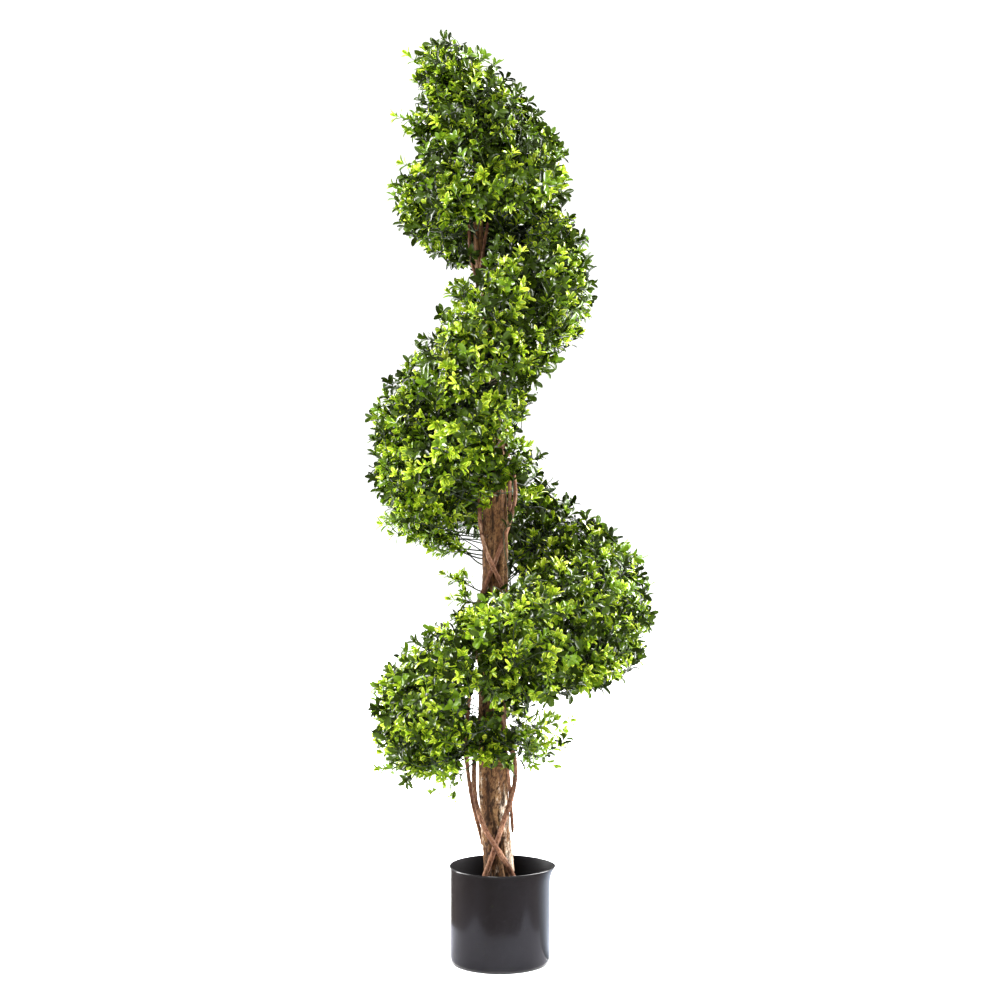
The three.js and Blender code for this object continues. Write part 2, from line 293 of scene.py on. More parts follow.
class Slices:
    """Level cuts through a rising CAD limb: its centre line, and its radius by angle."""

    def __init__(self, node):
        mesh = CAD[node].data
        place = np.array([v.co for v in mesh.vertices])
        ends = np.array([e.vertices[:] for e in mesh.edges])
        self.low, self.high = place[ends[:, 0]], place[ends[:, 1]]
        self.bottom, self.top = place[:, 2].min(), place[:, 2].max()

    def cut(self, z):
        z = min(max(z, self.bottom + 2e-4), self.top - 2e-4)
        a, b = self.low, self.high
        crossing = (a[:, 2] - z) * (b[:, 2] - z) < 0
        a, b = a[crossing], b[crossing]
        t = ((z - a[:, 2]) / (b[:, 2] - a[:, 2]))[:, None]
        return a + t * (b - a)

    def centre(self, z):
        points = self.cut(z)
        order = np.argsort(np.arctan2(*(points - points.mean(0)).T[1::-1]))
        ring = points[order]
        step = np.linalg.norm(np.roll(ring, -1, axis=0) - ring, axis=1)
        weight = step + np.roll(step, 1)
        return (ring * weight[:, None]).sum(0) / weight.sum()

    def radius(self, z, angles):
        points = self.cut(z) - self.centre(z)
        turn = np.arctan2(points[:, 1], points[:, 0])
        order = np.argsort(turn)
        return np.interp(angles, turn[order], np.hypot(points[:, 0], points[:, 1])[order], period=2 * math.pi)


# ------------------------------------------------------------------ trunk
trunk_slices = Slices("trunk")
TRUNK_LEVELS = np.linspace(trunk_slices.bottom + 1e-3, trunk_slices.top - 1e-3, 60)
TRUNK_CENTRES = np.array([trunk_slices.centre(z) for z in TRUNK_LEVELS])
TRUNK_RADII = np.array([trunk_slices.radius(z, [0, 2.1, 4.2]).mean() for z in TRUNK_LEVELS])


def trunk_centre(z):
    x, y = (np.interp(z, TRUNK_LEVELS, TRUNK_CENTRES[:, axis]) for axis in (0, 1))
    return Vector((x, y, z))


def trunk_radius(z):
    return float(np.interp(z, TRUNK_LEVELS, TRUNK_RADII))


def bark_relief(angle, z, radius):
    """How far the bark stands in at a point, and how much painted shade darkens it there, most in its cracks
    and in the hollows between its strands.
    """
    around = Vector((math.cos(angle), math.sin(angle), 0)) * radius
    drift = 1.1 * noise.noise(Vector((around.x * 14, around.y * 14, z * 5)))
    strand = abs(math.sin(2.5 * (angle + drift) + 3.0 * z))
    split = abs(noise.noise(Vector((around.x * 120, around.y * 120, z * 26 + 7))))
    check = abs(noise.noise(Vector((around.x * 240, around.y * 240, z * 60 + 3))))
    crack = max(0.0, 1 - split / 0.11) ** 1.5
    fine = max(0.0, 1 - check / 0.12) * 0.5
    valley = max(0.0, 1 - strand / 0.30) ** 1.3
    grain = noise.noise(Vector((around.x * 420, around.y * 420, z * 160)))
    size = min(1.0, radius / 0.02)
    inward = STRAND_DEPTH * (valley - 0.3 * strand) + CRACK_DEPTH * (crack + fine) - 0.0006 * grain
    return inward * size, min(1.0, 0.8 * crack + 0.45 * valley + 1.2 * fine)


def bare_share(z):
    """One on the trunk's bare foot, falling to nothing where the foliage starts."""
    return min(1.0, max(0.0, (BARE_TOP - z) / BARE_FADE))


def lichen_at(angle, z):
    """How much the pale crust covers the bark: most low down on the trunk's right front."""
    facing = max(0.0, math.cos(angle - LICHEN_TURN)) ** 3
    return LICHEN * facing * bare_share(z)


def build_trunk():
    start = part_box("filling")[1].z - TRUNK_START_BELOW_FILLING
    end = trunk_slices.top - 1e-3
    count = int((end - start) / TRUNK_RING_STEP)
    angles = np.linspace(0, 2 * math.pi, TRUNK_SIDES, endpoint=False)
    points, painted_shade_values, lichens = [], [], []
    for z in np.linspace(start, end, count):
        centre = trunk_centre(z)
        radii = trunk_slices.radius(z, angles)
        for angle, radius in zip(angles, radii):
            inward, painted_shade = bark_relief(angle, z, radius)
            # Painted shade on the front of the bare foot, added to the shade of the cracks and hollows.
            painted_shade += FRONT_SHADE * max(0.0, -math.sin(angle)) ** 4 * bare_share(z)
            out = radius - inward
            points.append(centre + Vector((math.cos(angle) * out, math.sin(angle) * out, 0)))
            painted_shade_values.append(painted_shade)
            lichens.append(lichen_at(angle, z))
    faces = tube_faces(count, TRUNK_SIDES)
    faces.append(tuple(reversed(range(TRUNK_SIDES))))
    faces.append(tuple(range((count - 1) * TRUNK_SIDES, count * TRUNK_SIDES)))
    make_piece("trunk_with_bark", points, faces, ["trunk"], [trunk_bark()],
               values={"painted_shade": painted_shade_values, "lichen": lichens})


# ------------------------------------------------------------------ lianas
def build_liana(node, bark, seed):
    slices = Slices(node)
    levels = np.linspace(slices.bottom + 5e-4, slices.top - 5e-4, int((slices.top - slices.bottom) / 0.003))
    line = np.array([slices.centre(z) for z in levels])
    thick = np.array([np.linalg.norm((slices.cut(z) - slices.centre(z)), axis=1).min() for z in levels])
    kernel = np.ones(7) / 7
    padded = np.pad(line, ((3, 3), (0, 0)), mode="reflect", reflect_type="odd")
    line = np.stack([np.convolve(padded[:, k], kernel, mode="valid") for k in range(3)], axis=1)
    along = np.concatenate([[0], np.cumsum(np.linalg.norm(np.diff(line, axis=0), axis=1))])
    count = int(along[-1] / LIANA_RING_STEP)
    points, painted_shade_values = [], []
    for s in np.linspace(0, along[-1], count):
        centre = Vector([np.interp(s, along, line[:, k]) for k in range(3)])
        ahead = Vector([np.interp(min(s + 0.004, along[-1]), along, line[:, k]) for k in range(3)])
        behind = Vector([np.interp(max(s - 0.004, 0), along, line[:, k]) for k in range(3)])
        tangent = (ahead - behind).normalized()
        side = tangent.cross(UP).normalized()
        other = side.cross(tangent)
        radius = float(np.interp(s, along, thick)) * LIANA_SWELL
        knob = 1 + 0.10 * max(0.0, noise.noise(Vector((s * 30, seed, 0)))) * 2
        taper = min(1.0, (min(s, along[-1] - s) + 0.002) / 0.006)
        for k in range(LIANA_SIDES):
            turn = 2 * math.pi * k / LIANA_SIDES
            fibre = noise.noise(Vector((math.cos(turn) * 2.2, math.sin(turn) * 2.2, s * 22 + 10 * seed)))
            flake = noise.noise(Vector((math.cos(turn) * 4, math.sin(turn) * 4, s * 140 + seed)))
            out = radius * knob * taper * (1 + 0.11 * fibre + 0.05 * flake)
            points.append(centre + (side * math.cos(turn) + other * math.sin(turn)) * out)
            # Painted shade in the hollows between the fibres.
            painted_shade_values.append(min(1.0, max(0.0, -fibre * 1.3 - 0.2)))
    faces = tube_faces(count, LIANA_SIDES)
    faces.append(tuple(reversed(range(LIANA_SIDES))))
    faces.append(tuple(range((count - 1) * LIANA_SIDES, count * LIANA_SIDES)))
    make_piece(node + "_stem", points, faces, [node], [bark], values={"painted_shade": painted_shade_values})


# ------------------------------------------------------------------ pot and filling
def build_pot():
    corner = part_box("pot")[1]
    height = corner.z
    top_radius = corner.y
    foot_radius = top_radius - FOOT_INSET
    flare = corner.x - top_radius
    bevel_radius = foot_radius - FOOT_BEVEL
    wall_to = height - RIM_ROUND

    def outer_radius(z):
        return foot_radius + (top_radius - foot_radius) * min(1.0, z / (height - LIP_DEPTH))

    profile = [(0.0, UNDERSIDE_HOLLOW), (foot_radius - 0.012, UNDERSIDE_HOLLOW)]
    profile += [(foot_radius - 0.010, 0.0), (bevel_radius, 0.0)]
    for k in range(1, 5):
        a = math.radians(90 * k / 4)
        profile.append((bevel_radius + FOOT_BEVEL * math.sin(a), FOOT_BEVEL - FOOT_BEVEL * math.cos(a)))
    for k in range(1, WALL_STEPS + 1):
        z = FOOT_BEVEL + (wall_to - FOOT_BEVEL) * k / WALL_STEPS
        profile.append((outer_radius(z), z))
    outside = len(profile) + 2
    for k in range(1, 8):
        a = math.radians(180 * k / 8)
        middle = top_radius - POT_WALL / 2
        profile.append((middle + POT_WALL / 2 * math.cos(a), wall_to + RIM_ROUND * math.sin(a)))
    for k in range(WALL_STEPS, 0, -1):
        z = POT_FLOOR + (wall_to - POT_FLOOR) * k / WALL_STEPS
        profile.append((outer_radius(z) - POT_WALL, z))
    profile.append((0.0, POT_FLOOR))
    points, inside = [], []
    for number, (radius, z) in enumerate(profile):
        inside += [float(number > outside)] * POT_SEGMENTS
        down = min(1.0, max(0.0, (height - z) / LIP_DEPTH))
        for k in range(POT_SEGMENTS):
            turn = 2 * math.pi * k / POT_SEGMENTS
            aside = (math.degrees(turn) + 180) % 360 - 180
            wider = flare * (1 - down) ** 2 * math.exp(-((aside / LIP_WIDTH) ** 2)) if radius > 0.02 else 0
            wavy = 0.0003 * math.sin(3 * turn + 1) * z / height
            r = radius + wider + (wavy if radius > 0.02 else 0)
            points.append(Vector((math.cos(turn) * r, math.sin(turn) * r, z)))
    faces = tube_faces(len(profile), POT_SEGMENTS)
    make_piece("pot_shell", points, faces, ["pot"], [pot_material()],
               values={"inside": inside})


def build_filling():
    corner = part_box("filling")[1]
    radius, top = corner.x, corner.z
    rings, sides = 30, 96
    points = [Vector((0, 0, top - 0.02))]
    for r in range(rings + 1):
        for k in range(sides):
            turn = 2 * math.pi * k / sides
            out = radius * (1 - 0.0005 * (r == rings)) * min(1, (r + 1) / rings)
            spot = Vector((math.cos(turn) * out, math.sin(turn) * out, 0))
            rough = 0.0016 * noise.noise(spot * 45) + 0.0008 * noise.noise(spot * 160)
            z = top - 0.002 + rough if r < rings else top - 0.012
            points.append(Vector((spot.x, spot.y, z)))
    faces = tube_faces(rings + 1, sides, 1)
    faces = [tuple(reversed(f)) for f in faces]
    last = 1 + rings * sides
    faces += [(0, last + k, last + (k + 1) % sides) for k in range(sides)]
    faces.append(tuple(range(1, 1 + sides)))
    make_piece("filling_top", points, faces, ["filling"], [filling_material()])


# ------------------------------------------------------------------ leaves
# Leaf outline: share of the length from the base, share of half the width.
OUTLINE = [(0.20, 0.60), (0.46, 0.97), (0.74, 0.94), (0.93, 0.52)]
RIM = 0.64  # the pale rim starts at this share of the half-width; its colour is partly the leaf's own paler edge and partly painted highlight


def leaf_shape(fold, arch, rimmed):
    """Points of a leaf along +X with its upper side up, and its faces as (corners, is rim)."""
    def place(along, across):
        return Vector((along, across * 0.5, fold * abs(across) - arch * (along * 2 - 1) ** 2))

    points = [place(0, 0), place(0.5, 0), place(1, 0)]
    base, middle, tip = 0, 1, 2
    if rimmed:
        points.append(place(0.9, 0))
    faces = []
    for side in (1, -1):
        line = [base, *range(len(points), len(points) + len(OUTLINE)), tip]
        points += [place(along, side * across) for along, across in OUTLINE]
        corners = []
        if rimmed:
            outer, line = line, [base, *range(len(points), len(points) + len(OUTLINE)), 3]
            points += [place(0.03 + 0.92 * along, side * across * RIM) for along, across in OUTLINE]
            corners = [(base, outer[1], line[1])]
            corners += [(outer[k], outer[k + 1], line[k + 1], line[k]) for k in range(1, len(line) - 1)]
        rim_count = len(corners)
        corners += [(line[k], line[k + 1], middle) for k in range(len(line) - 1)]
        for k, loop in enumerate(corners):
            faces.append((loop if side == -1 else tuple(reversed(loop)), k < rim_count))
    return np.array(points), faces


# How far a leaf is folded along its midrib, and how far it arches.
LEAF_CURVES = [(0.20, 0.16), (0.30, 0.06), (0.12, 0.28), (0.34, 0.20)]
LEAF_SHAPES = {rimmed: [leaf_shape(*curve, rimmed) for curve in LEAF_CURVES] for rimmed in (True, False)}

# Tints: name, centre, rim, sheen. They are dealt out by spray; the sprays inside a mass take the deep and
# dark ones as painted shade.
TINTS = {
    "deep": ((0.010, 0.018, 0.001), (0.024, 0.034, 0.002), 0.12),
    "dark": ((0.030, 0.054, 0.003), (0.120, 0.160, 0.008), 0.28),
    "middle": ((0.088, 0.160, 0.006), (0.320, 0.400, 0.020), 0.46),
    "fresh": ((0.170, 0.285, 0.010), (0.500, 0.590, 0.034), 0.56),
    "lime": ((0.265, 0.400, 0.014), (0.620, 0.700, 0.066), 0.60),
    "yellow": ((0.390, 0.500, 0.026), (0.740, 0.780, 0.130), 0.60),
}
DEEP, DARK, MIDDLE, FRESH, LIME, YELLOW = range(len(TINTS))
WIRE, SPRIG = 0, 1  # a twig's material


class Growth:
    """Collects the leaves and twigs of one mass."""

    def __init__(self):
        self.leaf_points, self.leaf_faces, self.leaf_tints = [], [], []
        self.twig_points, self.twig_faces, self.twig_tints = [], [], []
        self.leaf_count = 0

    def leaf(self, base, along, up, length, width, tint, shape):
        points, faces = shape
        along = along.normalized()
        across = up.cross(along)
        if across.length < 1e-6:
            across = along.orthogonal()
        across.normalize()
        normal = along.cross(across)
        turn = np.array([along * length, across * width, normal * width])
        start = self.leaf_count
        self.leaf_points.append(points @ turn + np.array(base))
        for corners, is_rim in faces:
            self.leaf_faces.append(tuple(start + c for c in corners))
            self.leaf_tints.append(2 * tint + is_rim)
        self.leaf_count += len(points)

    def tube(self, path, start_radius, end_radius, sides, tint=WIRE):
        first = len(self.twig_points)
        for k, point in enumerate(path):
            tangent = (path[min(k + 1, len(path) - 1)] - path[max(k - 1, 0)]).normalized()
            side = tangent.orthogonal().normalized()
            other = tangent.cross(side)
            radius = start_radius + (end_radius - start_radius) * k / (len(path) - 1)
            for s in range(sides):
                turn = 2 * math.pi * s / sides
                self.twig_points.append(point + (side * math.cos(turn) + other * math.sin(turn)) * radius)
        faces = tube_faces(len(path), sides, first)
        faces.append(tuple(reversed(range(first, first + sides))))
        last = first + (len(path) - 1) * sides
        faces.append(tuple(range(last, last + sides)))
        self.twig_faces += faces
        self.twig_tints += [tint] * len(faces)


def bezier(a, b, c, d, steps):
    points = []
    for k in range(steps + 1):
        t = k / steps
        points.append(a * (1 - t) ** 3 + b * 3 * t * (1 - t) ** 2 + c * 3 * t * t * (1 - t) + d * t ** 3)
    return points


def random_unit(rng):
    z = rng.uniform(-1, 1)
    turn = rng.uniform(0, 2 * math.pi)
    flat = math.sqrt(1 - z * z)
    return Vector((flat * math.cos(turn), flat * math.sin(turn), z))


def spread(candidates, spacing):
    """Keeps the candidates that are at least a spacing from those kept before."""
    kept, cells = [], {}
    for item in candidates:
        point = item[0]
        cell = tuple(int(math.floor(c / spacing)) for c in point)
        near = (
            other
            for dx in (-1, 0, 1)
            for dy in (-1, 0, 1)
            for dz in (-1, 0, 1)
            for other in cells.get((cell[0] + dx, cell[1] + dy, cell[2] + dz), ())
        )
        if all((other - point).length >= spacing for other in near):
            cells.setdefault(cell, []).append(point)
            kept.append(item)
    return kept


def surface_candidates(node, rng, count):
    """Points on a CAD mass, by area, with the way that the surface faces."""
    mesh = CAD[node].data
    mesh.calc_loop_triangles()
    place = np.array([v.co for v in mesh.vertices])
    corners = np.array([t.vertices[:] for t in mesh.loop_triangles])
    a, b, c = place[corners[:, 0]], place[corners[:, 1]], place[corners[:, 2]]
    cross = np.cross(b - a, c - a)
    area = np.linalg.norm(cross, axis=1)
    chosen = rng.choices(range(len(corners)), weights=area.tolist(), k=count)
    found = []
    for t in chosen:
        u, v = rng.random(), rng.random()
        if u + v > 1:
            u, v = 1 - u, 1 - v
        point = a[t] + (b[t] - a[t]) * u + (c[t] - a[t]) * v
        found.append((Vector(point), Vector(cross[t] / area[t])))
    return found


def tree_of(node):
    mesh = CAD[node].data
    return BVHTree.FromPolygons([v.co.copy() for v in mesh.vertices], [p.vertices[:] for p in mesh.polygons])


def is_inside(tree, point):
    hit = tree.find_nearest(point)
    return (point - hit[0]).dot(hit[1]) < 0


def around(forward, turn):
    """A direction square to forward, turned about it."""
    side = forward.orthogonal().normalized()
    side.rotate(Matrix.Rotation(turn, 3, forward))
    return side


def grow_spray(growth, rng, base, direction, length, tint, whorl, size, rimmed, slender=1.0, eldest=DEEP):
    """A twig of leaf pairs, each at right angles to the one before, with a whorl of leaves at its tip and,
    on a rimmed spray, two bud leaves. The older pairs are darker, down to the eldest tint."""
    bend = random_unit(rng) * 0.3 + UP * 0.15
    ahead = (direction + bend).normalized()
    tip = base + (direction + bend * 0.5).normalized() * length
    path = bezier(base, base + direction * length * 0.35, tip - ahead * length * 0.3, tip, 3)
    growth.tube(path, TWIG_RADIUS, TWIG_RADIUS * 0.55, 3, SPRIG if tint >= MIDDLE else WIRE)
    wide = LEAF_WIDTH * size * slender

    def leaf(spot, forward, turn, open_angle, share, leaf_tint, is_rimmed):
        out = around(forward, turn)
        along = forward * math.cos(open_angle) + out * math.sin(open_angle) + random_unit(rng) * 0.16
        up = forward * 1.1 - out * 0.3 + UP * 0.35 + random_unit(rng) * 0.3
        grown = share * rng.uniform(0.86, 1.14)
        shape = rng.choice(LEAF_SHAPES[is_rimmed])
        growth.leaf(spot, along, up, LEAF_LENGTH * size * grown, wide * grown, leaf_tint, shape)

    roll = rng.uniform(0, math.pi)
    for k in range(max(2, int(length * 0.85 / PAIR_STEP))):
        t = 1 - (k + 0.75) * PAIR_STEP / length
        step = min(2, int(t * 3))
        spot = path[step].lerp(path[step + 1], t * 3 - step)
        forward = (path[step + 1] - path[step]).normalized()
        older = max(min(tint, eldest), tint - (k + rng.choice((0, 1, 1))) // 2 - (k > 1))
        for half_turn in (0, math.pi):
            turn = roll + k * math.pi / 2 + half_turn
            leaf(spot, forward, turn, math.radians(rng.uniform(44, 64) + 4 * k), 1.0, older, False)
    forward = (path[-1] - path[-2]).normalized()
    roll = rng.uniform(0, 2 * math.pi)
    for k in range(whorl):
        turn = roll + 2 * math.pi * k / whorl + rng.uniform(-0.3, 0.3)
        leaf(path[-1], forward, turn, math.radians(rng.uniform(30, 58)), 0.92, tint, rimmed)
    if rimmed:
        bud_tint = min(tint + 1, YELLOW)
        for k in range(2):
            opened = math.radians(rng.uniform(8, 22))
            leaf(path[-1], forward, roll + math.pi * k, opened, 0.66, bud_tint, False)


# How a mass grows where that differs from the usual: bare room round the trunk, length of its sprays,
# spacing on its surface and inside, how much its wires rise from the trunk for each metre they reach, and how
# much further its sprays stay back from its surface.
USUAL = {"clear": TRUNK_CLEAR, "length": 1.0, "spacing": 1.0, "inner": 1.0, "rise": (0.15, 0.6), "shy": 0.0}
COLLAR_HABIT = {"clear": 0.006, "length": 0.5, "spacing": 0.85, "inner": 0.7, "rise": (-0.3, 0.3)}
HABITS = {
    "foliage_collar": COLLAR_HABIT,
    "foliage_upper_collar": COLLAR_HABIT,
    "foliage_foot": {"spacing": 2.5, "inner": 3.6, "rise": (-0.3, 0.1)},
    "foliage_1_front": {"rise": (-0.2, 0.15)},
    "foliage_2_front": {"rise": (-0.2, 0.15)},
    "foliage_tip": {"shy": 0.004},
}

# Sprigs that stand clear of their mass: its name, where the wire leaves the trunk (a share of the mass's
# height from its underside, then the angle), how far it reaches from the bark, and how much it rises.
LOOSE_SPRIGS = [
    ("foliage_1_left", 0.16, 200, 0.172, -0.020),
    ("foliage_1_left", 0.18, 188, 0.160, -0.002),
    ("foliage_1_left", 0.11, 200, 0.078, -0.052),
    ("foliage_1_left", 0.14, 192, 0.100, -0.030),
    ("foliage_1_left", 0.17, 214, 0.125, -0.018),
    ("foliage_1_front", 0.91, 188, 0.066, 0.026),
    ("foliage_1_front", 0.84, 196, 0.058, 0.010),
    ("foliage_foot", 0.42, 338, 0.088, -0.036),
    ("foliage_foot", 0.51, 350, 0.110, 0.018),
    ("foliage_foot", 0.44, 330, 0.070, -0.004),
    ("foliage_2_left", -0.07, 186, 0.105, 0.022),
    ("foliage_2_left", -0.09, 176, 0.130, 0.050),
    ("foliage_2_left", -0.12, 182, 0.080, 0.058),
    ("foliage_2_left", -0.05, 170, 0.120, 0.012),
    ("foliage_2_left", 0.02, 185, 0.168, 0.020),
    ("foliage_2_left", 0.03, 202, 0.172, 0.034),
    ("foliage_2_front", 0.76, 190, 0.050, 0.015),
    ("foliage_2_front", 0.82, 182, 0.040, 0.010),
    ("foliage_2_front", 0.25, 335, 0.044, 0.030),
    ("foliage_2_front", 0.18, 325, 0.050, 0.004),
    ("foliage_2_front", 0.07, 340, 0.046, 0.026),
    ("foliage_3_left", 0.66, 183, 0.118, 0.036),
    ("foliage_3_left", 0.49, 184, 0.132, 0.030),
    ("foliage_tip", 0.13, 184, 0.100, 0.020),
    ("foliage_tip", 0.17, 186, 0.122, 0.020),
    ("foliage_tip", 0.49, 176, 0.096, 0.062),
    ("foliage_tip", 0.27, 170, 0.090, 0.060),
    ("foliage_tip", 0.44, 178, 0.070, 0.080),
]

# Gaps that go right through the foliage, seen from the front, beside the trunk at the collar: how far across
# the collar's box and how far up it each one is, and its radius.
GAPS = [(0.15, 0.93, 0.013), (0.77, 0.68, 0.006)]
GAP_ROOM = 0.009  # how far a spray's own line stays from a gap's edge, for its leaves
OUTLINE_STEP = 0.006
LEAF_PAST_TIP = 0.008  # how far a spray's leaves stand past its tip
MOST_SHIFT = 0.03  # how far a spray is moved in at most to keep to the outline
TUCK = 0.003  # how far inside the masses' outline a spray's leaves end


def seen_from_front(point):
    """Where a point is seen to be, on the plane y = 0."""
    sight = point - CAMERA_PLACE
    return CAMERA_PLACE + sight * (-CAMERA_PLACE.y / sight.y)


def front_outline():
    """The outline of the masses seen from the front: heights, and the least and the greatest x at each."""
    count = int(cad_box[1].z / OUTLINE_STEP) + 1
    heights = np.arange(count) * OUTLINE_STEP
    left = np.full(count, np.inf)
    right = np.full(count, -np.inf)
    for node in MASSES:
        mesh = CAD[node].data
        seen = [seen_from_front(vertex.co) for vertex in mesh.vertices]
        for edge in mesh.edges:
            low, high = sorted((seen[k] for k in edge.vertices), key=lambda spot: spot.z)
            for k in range(math.ceil(low.z / OUTLINE_STEP), min(count, int(high.z / OUTLINE_STEP) + 1)):
                x = low.lerp(high, (heights[k] - low.z) / max(high.z - low.z, 1e-6)).x
                left[k] = min(left[k], x)
                right[k] = max(right[k], x)
    crossed = np.isfinite(left)
    return heights[crossed], left[crossed] + TUCK, right[crossed] - TUCK


def gap_places():
    """The middle and radius of each gap, in the plane y = 0."""
    low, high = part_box("foliage_collar")
    return [(low.x + (high.x - low.x) * across, low.z + (high.z - low.z) * up, r) for across, up, r in GAPS]


OUTLINE_HEIGHTS, LEFT_OUTLINE, RIGHT_OUTLINE = front_outline()
GAP_PLACES = gap_places()


def clipped(base, direction, length):
    """The base of a spray, moved in if its leaves would stand past the outline."""
    spot = seen_from_front(base + direction * (length + LEAF_PAST_TIP))
    left = np.interp(spot.z, OUTLINE_HEIGHTS, LEFT_OUTLINE)
    right = np.interp(spot.z, OUTLINE_HEIGHTS, RIGHT_OUTLINE)
    inward = max(0.0, left - spot.x) - max(0.0, spot.x - right)
    return base + Vector((min(MOST_SHIFT, max(-MOST_SHIFT, inward)), 0, 0))


def leave_trunk(z, outward):
    """Where a wire comes out of the bark."""
    return trunk_centre(z) + outward * (trunk_radius(z) - 0.004)


def grow_loose(growth, rng, z, angle, reach, rise):
    """A wire that ends in a leafy sprig clear of the mass, with side sprigs on its outer part."""
    outward = Vector((math.cos(math.radians(angle)), math.sin(math.radians(angle)), 0))
    start = leave_trunk(z, outward)
    tip = start + outward * reach + UP * rise
    lead = (tip - start).normalized()
    sprig = min(0.55 * (tip - start).length, 0.05)
    base = tip - lead * sprig
    path = bezier(start, start + outward * reach * 0.2, base - lead * reach * 0.2, base, 6)
    growth.tube(path, LOOSE_RADIUS, LOOSE_TIP_RADIUS, 4)
    grow_spray(growth, rng, base, lead, sprig, rng.choice((MIDDLE, FRESH)), 4, 1.0, True, 0.85, MIDDLE)
    for share in (0.62, 0.76, 0.88, 1.0):
        spot = start.lerp(base, share)
        aside = (lead + around(lead, rng.uniform(0, 2 * math.pi)) * 0.7).normalized()
        tint = rng.choice((MIDDLE, MIDDLE, FRESH))
        grow_spray(growth, rng, spot, aside, sprig * 0.65, tint, 3, 1.0, True, 0.85, MIDDLE)


def grow_mass(node, others, seed):
    """Replaces a CAD mass: wires from the trunk, branchlets from them, and a spray at the end of each."""
    rng = random.Random(seed)
    habit = {**USUAL, **HABITS.get(node, {})}
    tree = tree_of(node)
    low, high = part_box(node)
    near_others = [tree_of(other) for other in others]

    def from_bark(point):
        flat = point - trunk_centre(point.z)
        return math.hypot(flat.x, flat.y) - trunk_radius(point.z)

    def at_seam(point):
        return any(t.find_nearest(point, 0.012)[0] is not None for t in near_others)

    outer = surface_candidates(node, rng, 9000)
    outer = [spot for spot in outer if from_bark(spot[0]) > habit["clear"] and not at_seam(spot[0])]
    outer = spread(outer, SPRAY_SPACING * habit["spacing"])
    inner = []
    for _ in range(6000):
        point = Vector([rng.uniform(a, b) for a, b in zip(low, high)])
        if from_bark(point) > 0.7 * habit["clear"] and is_inside(tree, point):
            inner.append((point, None))
    inner = spread(inner, INNER_SPACING * habit["inner"])

    sprays = []
    for point, normal in outer:
        flat = point - trunk_centre(point.z)
        flat.z = 0
        direction = normal * 0.85 + flat.normalized() * 0.3 + UP * 0.25 + random_unit(rng) * 0.5
        direction.normalize()
        pokes = rng.random() < 0.15
        length = SPRAY_LENGTH * habit["length"] * rng.uniform(0.8, 1.2) * (1.15 if pokes else 1)
        proud = (rng.uniform(-0.016, -0.005) if pokes else rng.uniform(-0.032, -0.016)) - habit["shy"]
        place = "poking" if pokes else "outer"
        sprays.append((point + direction * (proud - length), direction, length, place))
    for point, _ in inner:
        flat = point - trunk_centre(point.z)
        flat.z = 0
        direction = (flat.normalized() * 0.6 + UP * 0.25 + random_unit(rng) * 0.7).normalized()
        length = SPRAY_LENGTH * habit["length"] * rng.uniform(0.7, 1.0)
        sprays.append((point - direction * length * 0.5, direction, length, "inner"))

    def in_gap(base, direction, length):
        """Whether a spray, with its leaves, would close one of the gaps."""
        for share in (0.0, 0.5, 1.0, 1.2):
            spot = seen_from_front(base + direction * length * share)
            if any(math.hypot(spot.x - x, spot.z - z) < radius + GAP_ROOM for x, z, radius in GAP_PLACES):
                return True
        return False

    sprays = [(clipped(base, way, length), way, length, place) for base, way, length, place in sprays]
    sprays = [spray for spray in sprays if not in_gap(*spray[:3])]
    growth = Growth()
    stem_count = max(4, int((high.z - low.z) * STEMS_PER_METRE))
    ends = [Vector(s[0]) for s in rng.sample(sprays, min(stem_count, len(sprays)))]
    stems = []
    for end in ends:
        outward = Vector((end.x - trunk_centre(end.z).x, end.y - trunk_centre(end.z).y, 0))
        start = leave_trunk(end.z - outward.length * rng.uniform(*habit["rise"]), outward.normalized())
        reach = (end - start).length
        lead = (end - start).normalized() + outward.normalized() * 0.4
        path = bezier(start, start + lead * reach * 0.3, end - lead * reach * 0.25, end, 8)
        path = [clipped(point, Vector(), 0.004) for point in path]
        growth.tube(path, STEM_RADIUS, STEM_RADIUS * 0.75, 5)
        stems.append(path)
    joints = [(point, stem, k) for stem in stems for k, point in enumerate(stem) if k >= 3]

    for base, direction, length, place in sprays:
        point, stem, k = min(joints, key=lambda j: (j[0] - base).length_squared + 0.0004 * (j[2] < 5))
        run = (base - point).length
        if run > 0.004:
            lead = (stem[k] - stem[k - 1]).normalized()
            bow = min(run * 0.35, 0.012)
            path = bezier(point, point + lead * bow, base - direction * bow, base, 3)
            growth.tube(path, TWIG_RADIUS * 1.2, TWIG_RADIUS, 3)
        if place == "inner":
            # Painted shade: the sprays inside a mass get the darker tints.
            tint = rng.choice((DEEP, DARK, DARK, MIDDLE))
            grow_spray(growth, rng, base, direction, length, tint, 3, rng.uniform(1.0, 1.2), False)
            continue
        # A spray's tint: at random, in patches, paler where it points up, and paler again where it pokes out
        # or faces sideways; that last is painted light, as if light came through the leaves at the outline.
        patch = noise.noise(base * 9 + Vector((3, 7, 1)))
        aside = abs(direction.x)
        fate = rng.random() + 0.3 * patch + 0.14 * direction.z + (0.25 if place == "poking" else 0.16 * aside)
        tint = YELLOW if fate > 1.20 else LIME if fate > 0.86 else FRESH if fate > 0.36 else MIDDLE
        # Painted light: poking and sideways sprays keep their older pairs no darker than middle.
        slender, eldest = (0.64, MIDDLE) if place == "poking" else (0.95, MIDDLE if aside > 0.7 else DARK)
        size = rng.uniform(0.86, 1.12)
        whorl = rng.choice((3, 4, 4))
        grow_spray(growth, rng, base, direction, length, tint, whorl, size, True, slender, eldest)
    for mass, share, *sprig in LOOSE_SPRIGS:
        if mass == node:
            grow_loose(growth, rng, low.z + (high.z - low.z) * share, *sprig)
    return growth


